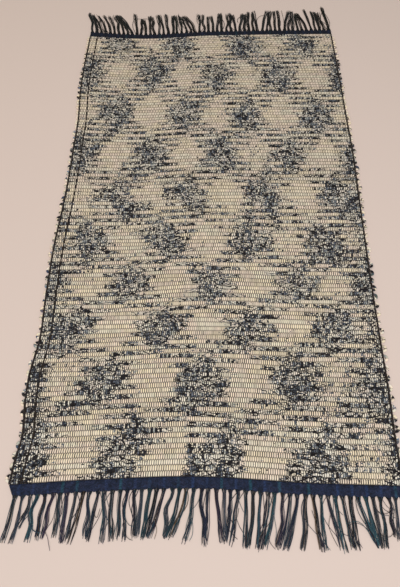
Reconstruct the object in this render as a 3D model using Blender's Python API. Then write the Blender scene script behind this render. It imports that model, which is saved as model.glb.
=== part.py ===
"""Rag rug: a weft-faced field of thick rag rows, a navy heading woven at each end, and fringes.

Frame: metres, +X across the rug, +Y along it to the far end, +Z up, underside at Z = 0.
The origin is the middle of the rug's outline, fringes included.
"""

import bmesh
import bpy
import numpy as np

MM = 0.001

# Driving dimensions of the weave
ROWS = 128  # rag weft rows, each about 9.3 mm wide
CROWN_HEIGHT = 5.4 * MM  # top of a rag row
VALLEY_HEIGHT = 3.5 * MM  # between two rows
ROW_WIDTH_SPREAD = 0.06  # rows differ in width by about this share
CROWN_START = 0.27  # a row's flat crown runs between these two shares of its width
CROWN_END = 0.73
LOOP_REACH = 4.4 * MM  # a weft turn stands this far outside the selvedge
LOOP_GROWTH = 1.8 * MM  # and this much further at the near end
LOOP_SHAPE = (0.15, 0.75, 1.0)  # shares of that reach: between turns, at a turn's side, at its top
SEED = 12

# Driving dimensions of the headings and fringes
HEADING_WIDTHS = {"near": 17.5 * MM, "far": 20.0 * MM}
HEADING_HEIGHT = 3.0 * MM
CLOTH_GAP = 0.3 * MM  # between the field and a heading
NEAR_LEFT_DRAW_IN = 9.0 * MM  # the near heading's outer left corner is pulled in by its warp
LOCK_WIDTH = 4.6 * MM
LOCK_SECTIONS = 5
LEAN_POWER = 1.5  # locks leave the heading square and lean over towards their tips
LOCK_INSET = 5.0 * MM  # the outermost lock's middle, in from the heading's end
ROOT_SPREAD = 1.2 * MM  # roots leave their even spacing by up to this much
TIP_SPREAD = 3.0 * MM  # lock lengths differ by up to this much
TIP_CLEARANCE = 3.6 * MM  # least distance between the middles of two lock tips

# The middle of the outline, measured from the middle of the field, comes to the origin
OUTLINE_MIDDLE = (-8.1 * MM, 18.0 * MM)

# The selvedges as they lie, in mm: along the rug, left edge, right edge
SELVEDGE_COLUMNS = ("along", "left", "right")
SELVEDGES = (
    (-612, -340, 336),
    (-540, -336, 337),
    (-420, -341, 342),
    (-180, -345, 346),
    (0, -348, 349),
    (130, -345, 354),
    (300, -345, 354),
    (616, -353, 353),
)

# The field's two woven edges, in mm: across the rug, near edge, far edge
FIELD_EDGE_COLUMNS = ("across", "near", "far")
FIELD_EDGES = (
    (-353, -615, 588),
    (-195, -603.5, 579),
    (-20, -595.5, 595.5),
    (170, -602.5, 604.5),
    (353, -605, 610),
)

# Fringe bunches that lie together, in mm from left to right: how many locks, how far their
# tips drift sideways, how long they are, and how far apart their tips lie as a share of the
# distance between their roots
BUNCH_COLUMNS = ("locks", "drift", "length", "opening")
NEAR_BUNCHES = (
    (2, -6, 72, 1.0),
    (1, -11, 50, 1.0),
    (1, -6, 74, 1.0),
    (2, -6, 69, 0.5),
    (1, 0, 72, 1.0),
    (3, -7, 76, 0.45),
    (2, -5, 74, 0.45),
    (4, 4.5, 77, 0.88),
    (3, -3, 76, 0.45),
    (2, -20.5, 76, 0.45),
    (3, -18, 79, 0.48),
    (1, -13, 82, 1.0),
    (2, 1, 85, 0.35),
    (2, 5, 82, 0.35),
    (2, -10, 82, 0.35),
    (2, -6.5, 85, 0.45),
    (3, -16, 86, 0.48),
    (3, -20.5, 83, 0.65),
    (1, -11, 86, 1.0),
    (2, 1.5, 83, 0.6),
    (2, 12.5, 82, 0.45),
    (2, 5, 81, 0.35),
    (4, 9.5, 77, 0.4),
    (3, -4.5, 64, 0.4),
)
FAR_BUNCHES = (
    (1, -26, 97, 1.0),
    (2, -30, 86, 0.3),
    (2, -30.5, 87, 1.2),
    (1, -26, 87, 1.0),
    (4, -33, 90, 0.3),
    (1, -14, 106, 1.0),
    (2, -7.5, 76, 0.3),
    (2, -12, 88, 0.7),
    (2, -14.5, 97, 0.45),
    (1, -13, 95, 1.0),
    (2, -7.5, 90, 0.7),
    (1, -12, 85, 1.0),
    (3, -25, 80, 0.45),
    (2, -3.5, 85, 0.9),
    (2, -6, 80, 0.9),
    (2, 2, 90, 0.4),
    (2, -1, 87, 0.8),
    (1, -8, 80, 1.0),
    (2, 6.5, 84, 0.4),
    (2, 0, 95, 0.85),
    (1, -9, 98, 1.0),
    (3, 10, 98, 0.4),
    (2, -1.5, 98, 1.0),
    (3, 11, 97, 0.35),
    (3, -13, 85, 0.45),
    (1, -15, 104, 1.0),
    (3, -9, 90, 0.65),
    (1, -11, 112, 1.0),
)

# The lock's width and height along it, as shares of the root's
LOCK_TAPER_COLUMNS = ("along", "width", "height")
LOCK_TAPER = (
    (0.0, 1.0, 1.0),
    (0.2, 1.0, 0.85),
    (0.75, 0.85, 0.7),
    (1.0, 0.45, 0.45),
)


def column(table, names, name):
    """One named column of a table, as an array."""
    return np.array([row[names.index(name)] for row in table], float)


def read_table(table, names, name, at):
    """The named column at the places `at` of the first, straight between the table's rows."""
    return np.interp(at, column(table, names, names[0]), column(table, names, name))


def selvedge(side, along):
    """X of a selvedge at Y = along, in metres from the field's middle."""
    return read_table(SELVEDGES, SELVEDGE_COLUMNS, side, np.asarray(along) / MM) * MM


def field_edge(side, across):
    """Y of the field's near or far edge at X = across, in metres from the field's middle."""
    return read_table(FIELD_EDGES, FIELD_EDGE_COLUMNS, side, np.asarray(across) / MM) * MM


def row_place(share, across):
    """Y at X = across on the line that lies `share` of the way from the near to the far edge."""
    return (1 - share) * field_edge("near", across) + share * field_edge("far", across)


def to_origin(points):
    """Moves points from the field's middle to the part's origin."""
    return np.asarray(points, float) - np.array([*OUTLINE_MIDDLE, 0.0])


def finish_mesh(name, solid, material):
    """Puts a bmesh into the scene as the object `name` with one material."""
    bmesh.ops.recalc_face_normals(solid, faces=solid.faces)
    mesh = bpy.data.meshes.new(name)
    solid.to_mesh(mesh)
    solid.free()
    mesh.materials.append(material)
    piece = bpy.data.objects.new(name, mesh)
    bpy.context.scene.collection.objects.link(piece)
    return piece


def make_material(name, colour, roughness):
    """A plain cloth surface of one colour."""
    material = bpy.data.materials.new(name)
    material.use_nodes = True
    surface = material.node_tree.nodes["Principled BSDF"]
    surface.inputs["Base Color"].default_value = (*colour, 1.0)
    surface.inputs["Roughness"].default_value = roughness
    surface.inputs["Metallic"].default_value = 0.0
    return material


def row_lines(rng):
    """The lines that carry the ribs: their share of the field's length, height and turn loop.

    Each row has three lines, its valley and the two sides of its crown. A weft turn joins two
    rows, so on one side the outline stays out between them and comes in before the next pair.
    """
    widths = 1.0 + ROW_WIDTH_SPREAD * rng.uniform(-1, 1, ROWS)
    starts = np.concatenate([[0.0], np.cumsum(widths)]) / widths.sum()
    between, side, top = LOOP_SHAPE
    shares = []
    heights = []
    loops = []
    for row in range(ROWS):
        start, width = starts[row], starts[row + 1] - starts[row]
        shares += [start, start + CROWN_START * width, start + CROWN_END * width]
        heights += [VALLEY_HEIGHT, CROWN_HEIGHT, CROWN_HEIGHT]
        first = row % 2 == 0
        opening = (between, side, top)
        closing = (top, top, side)
        left, right = (opening, closing) if first else (closing, opening)
        loops += list(zip(left, right))
    shares.append(1.0)
    heights.append(VALLEY_HEIGHT)
    loops.append((between, between))
    loops[0] = (between, between)
    return np.array(shares), np.array(heights), np.array(loops)


def loop_reach(along):
    """How far the turn loops stand out at Y = along: larger towards the near end."""
    near_end = column(SELVEDGES, SELVEDGE_COLUMNS, "along").min() * MM
    nearness = np.clip(along / near_end, 0, 1)
    return LOOP_REACH + LOOP_GROWTH * nearness


def make_field(material):
    """The woven field: a slab with a flat underside and a rib for each rag row."""
    rng = np.random.default_rng(SEED)
    shares, heights, loops = row_lines(rng)
    stations = column(FIELD_EDGES, FIELD_EDGE_COLUMNS, "across") * MM
    last = len(stations) - 1
    solid = bmesh.new()
    grid = []
    for share, height, loop in zip(shares, heights, loops):
        line = []
        for place, across in enumerate(stations):
            along = row_place(share, across)
            if place == 0:
                across = selvedge("left", along) - loop[0] * loop_reach(along)
            if place == last:
                across = selvedge("right", along) + loop[1] * loop_reach(along)
            corner = (across, row_place(share, across), height)
            line.append(solid.verts.new(to_origin(corner)))
        grid.append(line)
    for lower, upper in zip(grid, grid[1:]):
        for place in range(last):
            corners = (lower[place], lower[place + 1], upper[place + 1], upper[place])
            solid.faces.new(corners)
    rim = [line[last] for line in grid[:-1]]
    rim += grid[-1][:0:-1]
    rim += [line[0] for line in grid[:0:-1]]
    rim += grid[0][:last]
    feet = [solid.verts.new((top.co.x, top.co.y, 0.0)) for top in rim]
    for place, foot in enumerate(feet):
        after = (place + 1) % len(feet)
        solid.faces.new((rim[place], rim[after], feet[after], foot))
    solid.faces.new(feet)
    return finish_mesh("rug_field", solid, material)


def lock_plan(bunches, left_end, right_end, rng):
    """For each lock from left to right: its root X, tip X and length, in metres.

    Roots are evenly spaced but for a little seeded play. The tips of one bunch gather round
    the bunch's drifted middle, and no two tips come nearer than TIP_CLEARANCE.
    """
    count = int(column(bunches, BUNCH_COLUMNS, "locks").sum())
    even = np.linspace(left_end + LOCK_INSET, right_end - LOCK_INSET, count)
    play = rng.uniform(-1, 1, count) * ROOT_SPREAD
    play[[0, -1]] = 0.0
    roots = even + play
    tips = []
    lengths = []
    first = 0
    for locks, drift, length, opening in bunches:
        own = roots[first : first + locks]
        middle = own.mean()
        tips += list(middle + drift * MM + opening * (own - middle))
        lengths += list(length * MM + rng.uniform(-1, 1, locks) * TIP_SPREAD)
        first += locks
    tips = np.array(tips)
    for _ in range(count):
        short = TIP_CLEARANCE - np.diff(tips)
        short = np.where(short > 0, short, 0)
        tips[:-1] -= short / 2
        tips[1:] += short / 2
    return roots, tips, np.array(lengths)


def grow_lock(solid, face, root, tip, length, outwards):
    """Draws a four-sided lock out of the heading's wall face, its underside at Z = 0.

    The middle line runs straight out at first and leans over smoothly: the share of the
    sideways drift is the share along to the power LEAN_POWER, the same for every lock, so
    neighbours never cross.
    """
    base_x, base_y, _ = face.calc_center_median()
    for section in range(1, LOCK_SECTIONS + 1):
        along = section / LOCK_SECTIONS
        width = LOCK_WIDTH * read_table(LOCK_TAPER, LOCK_TAPER_COLUMNS, "width", along)
        height = HEADING_HEIGHT * read_table(LOCK_TAPER, LOCK_TAPER_COLUMNS, "height", along)
        middle = base_x + (tip - root) * along**LEAN_POWER
        face = bmesh.ops.extrude_discrete_faces(solid, faces=[face])["faces"][0]
        old_middle = face.calc_center_median().x
        for vertex in face.verts:
            side = 1 if vertex.co.x > old_middle else -1
            vertex.co.x = middle + side * width / 2
            vertex.co.y = base_y + outwards * length * along
            if vertex.co.z > 0:
                vertex.co.z = height


def make_heading(name, side, outwards, bunches, draw_in, material, seed):
    """A heading strip along one woven edge, with its fringe locks drawn out of its outer wall."""
    rng = np.random.default_rng(seed)
    inner_y = CLOTH_GAP * outwards
    outer_y = (CLOTH_GAP + HEADING_WIDTHS[side]) * outwards
    end_along = field_edge(side, 0.0)
    left_end = float(selvedge("left", end_along))
    right_end = float(selvedge("right", end_along))
    outer_left = left_end + draw_in
    roots, tips, lengths = lock_plan(bunches, outer_left, right_end, rng)
    stations = column(FIELD_EDGES, FIELD_EDGE_COLUMNS, "across")[1:-1] * MM
    outer = [outer_left]
    for root in roots:
        outer += [root - LOCK_WIDTH / 2, root + LOCK_WIDTH / 2]
    outer.append(right_end)
    inner = [left_end, *stations, right_end]
    solid = bmesh.new()
    rings = []
    for height in (0.0, HEADING_HEIGHT):
        ring = []
        for across in outer:
            place = (across, field_edge(side, across) + outer_y, height)
            ring.append(solid.verts.new(to_origin(place)))
        for across in reversed(inner):
            place = (across, field_edge(side, across) + inner_y, height)
            ring.append(solid.verts.new(to_origin(place)))
        rings.append(ring)
    bottom, top = rings
    walls = []
    for place in range(len(bottom)):
        after = (place + 1) % len(bottom)
        wall = (bottom[place], bottom[after], top[after], top[place])
        walls.append(solid.faces.new(wall))
    solid.faces.new(bottom)
    solid.faces.new(top)
    for lock, (root, tip, length) in enumerate(zip(roots, tips, lengths)):
        grow_lock(solid, walls[1 + 2 * lock], root, tip, length, outwards)
    return finish_mesh(name, solid, material)


def main():
    for old in list(bpy.data.objects):
        bpy.data.objects.remove(old, do_unlink=True)
    rag = make_material("rag_weave", (0.30, 0.26, 0.20), 0.9)
    navy = make_material("navy_warp_cotton", (0.02, 0.03, 0.07), 0.85)
    make_field(rag)
    make_heading(
        "near_heading_fringe", "near", -1, NEAR_BUNCHES, NEAR_LEFT_DRAW_IN, navy, SEED + 1
    )
    make_heading("far_heading_fringe", "far", 1, FAR_BUNCHES, 0.0, navy, SEED + 2)


main()
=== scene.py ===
import math

import bpy
import numpy as np
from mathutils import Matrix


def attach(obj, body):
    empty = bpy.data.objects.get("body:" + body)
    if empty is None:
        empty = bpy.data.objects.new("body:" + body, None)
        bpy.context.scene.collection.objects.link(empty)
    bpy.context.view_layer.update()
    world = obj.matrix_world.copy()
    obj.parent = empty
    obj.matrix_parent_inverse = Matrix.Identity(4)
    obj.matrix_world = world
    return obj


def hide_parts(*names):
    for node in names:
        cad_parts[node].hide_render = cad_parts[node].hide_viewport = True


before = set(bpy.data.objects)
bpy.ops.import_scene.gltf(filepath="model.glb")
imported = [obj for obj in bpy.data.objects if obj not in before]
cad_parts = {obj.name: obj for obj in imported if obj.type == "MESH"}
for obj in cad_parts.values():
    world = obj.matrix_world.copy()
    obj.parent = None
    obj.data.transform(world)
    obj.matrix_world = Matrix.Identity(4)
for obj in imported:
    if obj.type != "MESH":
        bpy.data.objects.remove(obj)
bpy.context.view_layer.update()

# The field: a cloth of torn cotton rag laid back and forth over a dark cotton warp
# Twelve warp ends to the inch are stretched on the loom, and each rag row is passed through
# them and beaten down hard, so that it stands up as a rib with the warp biting into it.
MM = 0.001
FIELD_SIZE = (700.0, 1200.0)  # mm, as the weave lies flat
ENDS = 336  # warp ends, 2.1 mm apart
ROWS = 128
CROWN_HEIGHT = 5.4 * MM
VALLEY_HEIGHT = 3.5 * MM
ROW_WIDTH_SPREAD = 0.06
ROW_SHARES = (0.0, 0.27, 0.73)  # a row's valley and the two sides of its crown
TICK_PLAY, ROW_PLAY = 0.28, 0.2  # mm, how much a tick and a row differ in height
UNDER_RELIEF = 0.9 * MM  # the ribs underneath are pressed flatter
UNDER_COLUMNS = 43
TOP_TO_UNDER = 4  # how many steps on top lie over one step underneath
WANDERS = ((0.8, 61, 0.37), (0.5, 27, -0.9))  # waves: mm high, mm a radian, radians a row
SEED = 12
OUTLINE_MIDDLE = (-8.1 * MM, 18.0 * MM)  # of the rug with its fringes, from the field's middle

# The selvedges as they lie, in mm: along the rug, left edge, right edge
SELVEDGES = (
    ("along", "left", "right"),
    (-612, -340, 336), (-575, -338, 337.5), (-540, -333.5, 337), (-470, -340, 339.5),
    (-430, -341.5, 340.4), (-350, -334.5, 341), (-265, -338, 342), (-145, -341.5, 344.8),
    (0, -338, 349), (160, -340, 354), (250, -342, 354), (360, -351, 354), (545, -353.5, 353.5),
    (616, -353, 353),
)

# The field's woven edges, in mm: across the rug, near edge, far edge
FIELD_EDGES = (
    ("across", "near", "far"),
    (-353, -615, 588), (-195, -603.5, 579), (-20, -595.5, 595.5), (170, -602.5, 604.5),
    (353, -605, 610),
)

# The printed part of the rag strip comes round every PRINT_REPEAT, and each row to the right
# and each row back shows it a little further on. In mm: along the rug, where it lies in the
# rows to the right, where it lies in the rows back
PRINT_REPEAT = 172.0
PRINT_DRIFT = (
    ("along", "rightward", "homeward"),
    (600, 110, -122), (550, 85, -82), (430, 20, 23), (280, -67, 95), (150, -132, 197),
    (20, -212, 294), (-120, -262, 426), (-220, -330, 530), (-320, -442, 590), (-430, -540, 678),
    (-570, -668, 708), (-620, -700, 720),
)
PRINT_HALF = 43.0  # half the length of the printed part of the strip, in mm
PRINT_EDGE = 30.0  # mm, over which the print comes in and fades out
BARE_SHARE, PRINTED_SHARE = 0.06, 0.48  # of the strip that is dark, beside its print and in it
SPOT_STRENGTH = 0.8  # of the changes in SPOTS
SHARE_LIMITS = (0.02, 0.68)
MARK_SPREAD = 0.16  # how widely the marks' levels differ
BELL_STEEPNESS = 1.7  # of the logarithm that stands for the bell's inverse


def column(table, name):
    """One column, as an array, of a table whose first row names its columns."""
    names, *rows = table
    return np.array([row[names.index(name)] for row in rows], float)


def straight(table, name, at):
    """The named column at places of the first column, on straight lines between the rows."""
    places, values = column(table, table[0][0]), column(table, name)
    order = np.argsort(places)
    return np.interp(at, places[order], values[order])


def smooth(table, name, at):
    """The named column at places of the first one, on a curve through the table's rows.

    Between two rows the curve is the cubic with the rows' values and with slopes taken from
    the rows on either side.
    """
    places, values = column(table, table[0][0]), column(table, name)
    slopes = np.gradient(values, places)
    at = np.clip(at, places[0], places[-1])
    low = np.clip(np.searchsorted(places, at, side="right") - 1, 0, len(places) - 2)
    span = places[low + 1] - places[low]
    t = (at - places[low]) / span
    rise = values[low + 1] - values[low]
    start, end = slopes[low] * span, slopes[low + 1] * span
    return values[low] + t * (start + t * (3 * rise - 2 * start - end + t * (start + end - 2 * rise)))


def row_starts():
    """Where each row begins, as a share of the field's length: rows differ a little in width."""
    widths = 1.0 + ROW_WIDTH_SPREAD * np.random.default_rng(SEED).uniform(-1, 1, ROWS)
    return np.concatenate([[0.0], np.cumsum(widths)]) / widths.sum()


STARTS = row_starts()


def cloth_place(end, row):
    """X and Y, in metres from the part's origin, of a warp end (0 to ENDS) at a row (0 to ROWS).

    Y runs from the near to the far woven edge by the row's share of the length, and X from
    the left to the right selvedge by the end's share of the width. Each row also wanders a
    little along the rug, as two sine waves of its own, and not at all at the woven edges.
    """
    end, row = np.broadcast_arrays(np.asarray(end, float), np.asarray(row, float))
    share = np.interp(row, np.arange(ROWS + 1), STARTS)
    across = (end / ENDS - 0.5) * FIELD_SIZE[0]
    along = 0.0
    free = np.sqrt(np.clip(np.sin(math.pi * share), 0, 1))
    for _ in range(2):
        near = smooth(FIELD_EDGES, "near", across)
        far = smooth(FIELD_EDGES, "far", across)
        wander = sum(high * np.sin(across / wide + turn * row) for high, wide, turn in WANDERS)
        along = (1 - share) * near + share * far + wander * free
        left = smooth(SELVEDGES, "left", along)
        right = smooth(SELVEDGES, "right", along)
        across = left + (right - left) * end / ENDS
    return across * MM - OUTLINE_MIDDLE[0], along * MM - OUTLINE_MIDDLE[1]


# Where the cloth came out darker (+) or paler (-) than the plain repeat, in mm: across and
# along the rug, how far it leans to the right for each mm along, half width, half length,
# and the change in the print's share, in per cent
SPOTS = (
    (-20, 555, 0, 32, 40, -34), (-265, 425, 0, 36, 55, -34), (-250, 530, 0, 18, 30, -15),
    (-190, 572, 0, 22, 12, -20), (28, 490, 0.3, 11, 50, -26), (-92, 420, 0, 20, 16, -20),
    (75, 400, 0, 36, 26, -26), (-158, 295, 0.3, 32, 72, -36), (285, 420, 0, 45, 52, -26),
    (266, 500, 0, 14, 34, -20), (165, 275, 0, 36, 50, -36), (215, 355, 0, 26, 8, -20),
    (-275, 547, 0, 13, 20, 30), (-305, 485, 0, 12, 8, 25), (-170, 525, -0.4, 9, 24, 30),
    (-184, 468, 0.2, 15, 36, 34), (-130, 552, 0, 20, 20, 22), (-75, 546, 0.4, 18, 18, 45),
    (-98, 500, 0.4, 12, 30, 50), (-142, 412, 0.5, 15, 36, 30), (-172, 362, 0.55, 10, 66, 32),
    (-220, 400, 0, 20, 30, 15), (-45, 455, 0, 44, 6, 25), (-70, 487, 0, 30, 5, 20),
    (82, 528, 0, 22, 26, 50), (104, 568, 0.6, 22, 28, 45), (140, 545, 0, 26, 32, 20),
    (197, 525, 0, 12, 16, 25), (242, 586, 0, 14, 12, 30), (271, 558, 0, 11, 22, 40),
    (292, 585, 0, 14, 14, 25), (115, 478, -0.5, 13, 20, 25), (180, 476, -0.5, 12, 30, 34),
    (160, 406, 0, 26, 36, 34), (196, 420, -0.4, 14, 26, 30), (224, 388, 0, 10, 8, 25),
    (15, 390, 0, 18, 18, 35), (38, 430, 0, 28, 5, 20), (-16, 343, 0.5, 12, 22, 35),
    (-48, 307, 0.4, 18, 14, 45), (-112, 378, 0, 10, 6, 25), (70, 268, 0, 22, 26, 36),
    (86, 245, 0, 18, 14, 20), (60, 320, 0, 30, 5, 20), (-2, 211, 0, 10, 8, 30), (66, 207, 0, 13, 8, 35),
    (265, 320, 0, 12, 22, 34), (274, 299, 0, 14, 10, 25), (244, 258, 0.5, 11, 30, 46),
    (222, 280, 0, 14, 12, 25), (302, 268, -0.8, 10, 38, 30), (268, 226, 0, 14, 18, 35),
    (330, 384, 0, 12, 9, 30), (286, 368, 0, 10, 10, 25), (320, 326, 0, 11, 10, 25),
    (-275, 325, 0, 34, 26, 20), (-275, 272, 0.2, 12, 18, 36), (-300, 250, 0.3, 11, 22, 30),
    (-223, 260, 0.3, 13, 16, 30), (-248, 218, 0.6, 13, 28, 50), (-285, 155, 0.65, 9, 40, 36),
    (-65, 258, 0, 30, 14, 15), (-255, 105, 0, 34, 44, -32), (-226, 60, 0.5, 13, 22, -25),
    (-65, 130, 0, 32, 42, -26), (10, 30, 0, 34, 30, -36), (14, -92, 0.1, 30, 66, -42),
    (248, 118, 0.3, 40, 42, -36), (-180, 14, 0, 22, 17, -36), (-235, -45, 0, 15, 28, -28),
    (-282, -50, 0, 22, 20, -24), (-186, -134, 0, 25, 15, -34), (-148, -162, 0, 16, 14, -25),
    (80, 140, 0, 15, 15, -24), (215, -20, 0.1, 26, 66, -28), (-75, -25, 0, 13, 10, -24),
    (112, 182, 0, 22, 10, -20), (-145, 190, 0.3, 11, 14, -24), (122, -176, 0, 28, 16, -26),
    (171, 26, 0, 11, 16, -24), (-333, 90, 0, 16, 22, 40), (-150, 140, 0, 18, 20, 30),
    (-162, 108, 0.4, 22, 16, 36), (-174, 78, 0, 17, 24, 26), (-212, 102, 0, 10, 18, 24),
    (-112, 146, 0, 20, 7, 20), (-100, 17, -0.3, 11, 24, 38), (-68, 24, -0.5, 14, 22, 32),
    (-245, -5, 0, 45, 8, 36), (-270, 17, 0, 11, 12, 30), (-182, -42, 0, 18, 22, 50),
    (-152, -24, 0, 24, 12, 26), (-120, -72, -0.8, 14, 18, 25), (-84, -92, -0.3, 11, 18, 30),
    (-98, -132, 0, 12, 24, 34), (-142, -108, 0, 24, 14, 28), (-38, -90, 0, 13, 8, 30),
    (-230, -118, 0, 20, 18, 30), (-288, -135, 0, 16, 10, 30), (-268, -176, 0, 20, 14, 44),
    (-55, -160, -0.9, 7, 20, 20), (-30, -190, 0, 11, 8, 30), (24, 178, 0, 16, 9, 42),
    (44, 155, 0, 11, 20, 30), (-12, 118, 0.3, 20, 18, 30), (64, 92, -0.8, 8, 16, 35),
    (102, 136, 0, 9, 12, 30), (148, 132, 0.4, 14, 26, 34), (194, 114, -0.5, 10, 22, 34),
    (134, 84, 0, 15, 14, 32), (184, 84, 0, 18, 12, 36), (100, 42, -0.4, 12, 16, 34),
    (130, 18, 0, 14, 12, 46), (258, 12, 0.3, 18, 12, 36), (294, 54, 0.7, 8, 18, 40),
    (96, -50, 0, 11, 32, 42), (138, -22, -0.4, 10, 20, 38), (155, -64, 0, 11, 22, 32),
    (124, -108, 0, 20, 18, 46), (215, -75, 0, 26, 5, 30), (329, 130, -0.3, 18, 16, 44),
    (320, 88, 0, 22, 12, 28), (318, 4, 0, 22, 10, 28), (300, -46, 0, 11, 9, 36),
    (290, -110, 0, 36, 90, 14), (226, -156, 0, 13, 18, 36), (279, -156, 0, 16, 20, 26),
    (205, -176, 0, 12, 10, 34), (6, -185, 0, 9, 8, 30), (45, -155, 0, 13, 8, 26),
    (-80, -216, 0, 34, 25, -42), (92, -215, 0, 35, 22, -36), (-196, -338, 0.1, 30, 42, -42),
    (4, -316, -0.5, 26, 22, -36), (176, -310, 0, 26, 22, -40), (214, -264, 0.7, 15, 26, -30),
    (-106, -430, 0, 34, 42, -46), (90, -410, 0, 25, 28, -42), (136, -464, -0.8, 15, 18, -32),
    (64, -456, 0, 17, 12, -30), (-210, -500, 0, 26, 14, -32), (-240, -540, 0, 30, 28, -20),
    (-108, -573, 0, 26, 18, -36), (-76, -538, 0, 20, 18, -20), (86, -560, 0, 22, 30, -42),
    (-262, -226, 0, 36, 24, -26), (30, -481, 0, 22, 5, -26), (200, -498, 0, 44, 5, -24),
    (-172, -210, 0, 18, 14, 36), (-196, -242, -0.7, 11, 24, 44), (-230, -310, 0, 28, 12, 26),
    (-286, -358, 0, 22, 26, 30), (-124, -328, -0.8, 11, 18, 40), (-98, -348, 0, 13, 10, 36),
    (-76, -328, 0.9, 8, 18, 40), (-46, -305, 0, 10, 7, 30), (-18, -412, 0.8, 11, 34, 50),
    (-46, -448, 0, 10, 14, 34), (24, -440, 0.5, 14, 18, 46), (6, -468, 0, 12, 10, 34),
    (82, -304, 1.0, 9, 40, 42), (110, -337, 0, 14, 8, 36), (130, -318, -0.8, 10, 13, 38),
    (182, -368, 0, 9, 16, 34), (12, -238, 0.4, 16, 12, 38), (33, -215, 0, 11, 14, 32),
    (-20, -214, 0, 20, 12, 22), (216, -224, 0.9, 9, 22, 44), (192, -240, 0, 15, 8, 30),
    (274, -284, -0.5, 14, 16, 42), (284, -330, 0, 26, 20, 30), (312, -235, 0, 20, 20, 34),
    (206, -402, 0, 13, 10, 36), (192, -442, 0, 26, 13, 50), (168, -466, 0, 22, 10, 36),
    (136, -422, 0, 10, 15, 40), (270, -430, 0, 60, 60, 14), (258, -476, 0, 18, 8, 26),
    (265, -517, 0, 52, 4, 30), (265, -540, 0, 56, 4, 30), (162, -530, 0, 16, 4, 30),
    (87, -495, 0, 11, 8, 46), (74, -517, 1.0, 10, 10, 40), (30, -533, -0.7, 10, 16, 42),
    (50, -560, 0, 10, 14, 42), (0, -545, 0, 9, 14, 30), (-26, -565, 0, 15, 22, 42),
    (32, -592, 0, 14, 10, 40), (-60, -478, 0, 26, 5, 42), (-122, -508, -0.6, 9, 28, 38),
    (-260, -478, 0, 18, 10, 44), (-232, -446, -0.6, 10, 20, 32), (-184, -424, -0.4, 20, 26, 30),
    (-188, -540, 0, 10, 8, 25), (222, -582, 0, 34, 16, 40), (196, -558, 0, 11, 14, 32),
    (142, -580, 0, 9, 12, 32), (-164, -590, 0, 16, 8, 30), (-345, 425, 0, 16, 70, 42),
    (-342, 160, 0, 14, 60, 30), (-340, -60, 0, 14, 130, 30), (-335, -400, 0, 20, 230, 42),
    (-310, -450, 0, 16, 150, 14), (347, 420, 0, 14, 60, 44), (346, 520, 0, 20, 50, 24),
    (348, 120, 0, 13, 80, 36), (342, -90, 0, 16, 110, 36), (332, -300, 0, 22, 150, 32),
    (336, -520, 0, 14, 110, 36), (300, -575, 0, 50, 30, 14),
)


def print_level(end, row):
    """The level under which the rag's marks come out dark, at a warp end in a whole row.

    First the share of the rag that shows dark print is worked out, from 0 to 1.

    The strip is laid to the right in even rows and back in odd ones, so the printed part
    drifts one way in the first and the other way in the second. Where both meet, the cloth
    is dark, where one does, every other row is, and between them it stays cream. Then spots
    that came out darker or paler are added, each a soft-edged leaning ellipse. The marks' own
    levels are spread as a bell round a half, so the share becomes a level by the bell's
    inverse, which is nearly the logarithm of the share over the rest.
    """
    across, along = cloth_place(end, row + 0.5)
    across = (across + OUTLINE_MIDDLE[0]) / MM
    along = (along + OUTLINE_MIDDLE[1]) / MM
    to_right = straight(PRINT_DRIFT, "rightward", along)
    back = straight(PRINT_DRIFT, "homeward", along)
    middle = np.where(np.mod(row, 2) < 0.5, to_right, back)
    off = np.mod(across - middle + PRINT_REPEAT / 2, PRINT_REPEAT) - PRINT_REPEAT / 2
    edge = np.clip((PRINT_HALF - np.abs(off)) / PRINT_EDGE + 0.5, 0, 1)
    share = BARE_SHARE + (PRINTED_SHARE - BARE_SHARE) * edge
    for place, forward, lean, wide, deep, change in SPOTS:
        ahead = along - forward
        off = ((across - place - lean * ahead) / wide) ** 2 + (ahead / deep) ** 2
        share = share + SPOT_STRENGTH * (change / 100) * np.exp(-off)
    share = np.clip(share, *SHARE_LIMITS)
    return 0.5 + MARK_SPREAD / BELL_STEEPNESS * np.log(share / (1 - share))


def woven_end(ring):
    """The faces that close a ring: each spans one step underneath and TOP_TO_UNDER on top."""
    top = ring[: (UNDER_COLUMNS - 1) * TOP_TO_UNDER + 1]
    under = ring[len(top) :][::-1]
    faces = []
    for step in range(UNDER_COLUMNS - 1):
        over = top[step * TOP_TO_UNDER : (step + 1) * TOP_TO_UNDER + 1]
        faces.append(np.append(under[step : step + 2], over[::-1]).tolist())
    return faces


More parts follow.
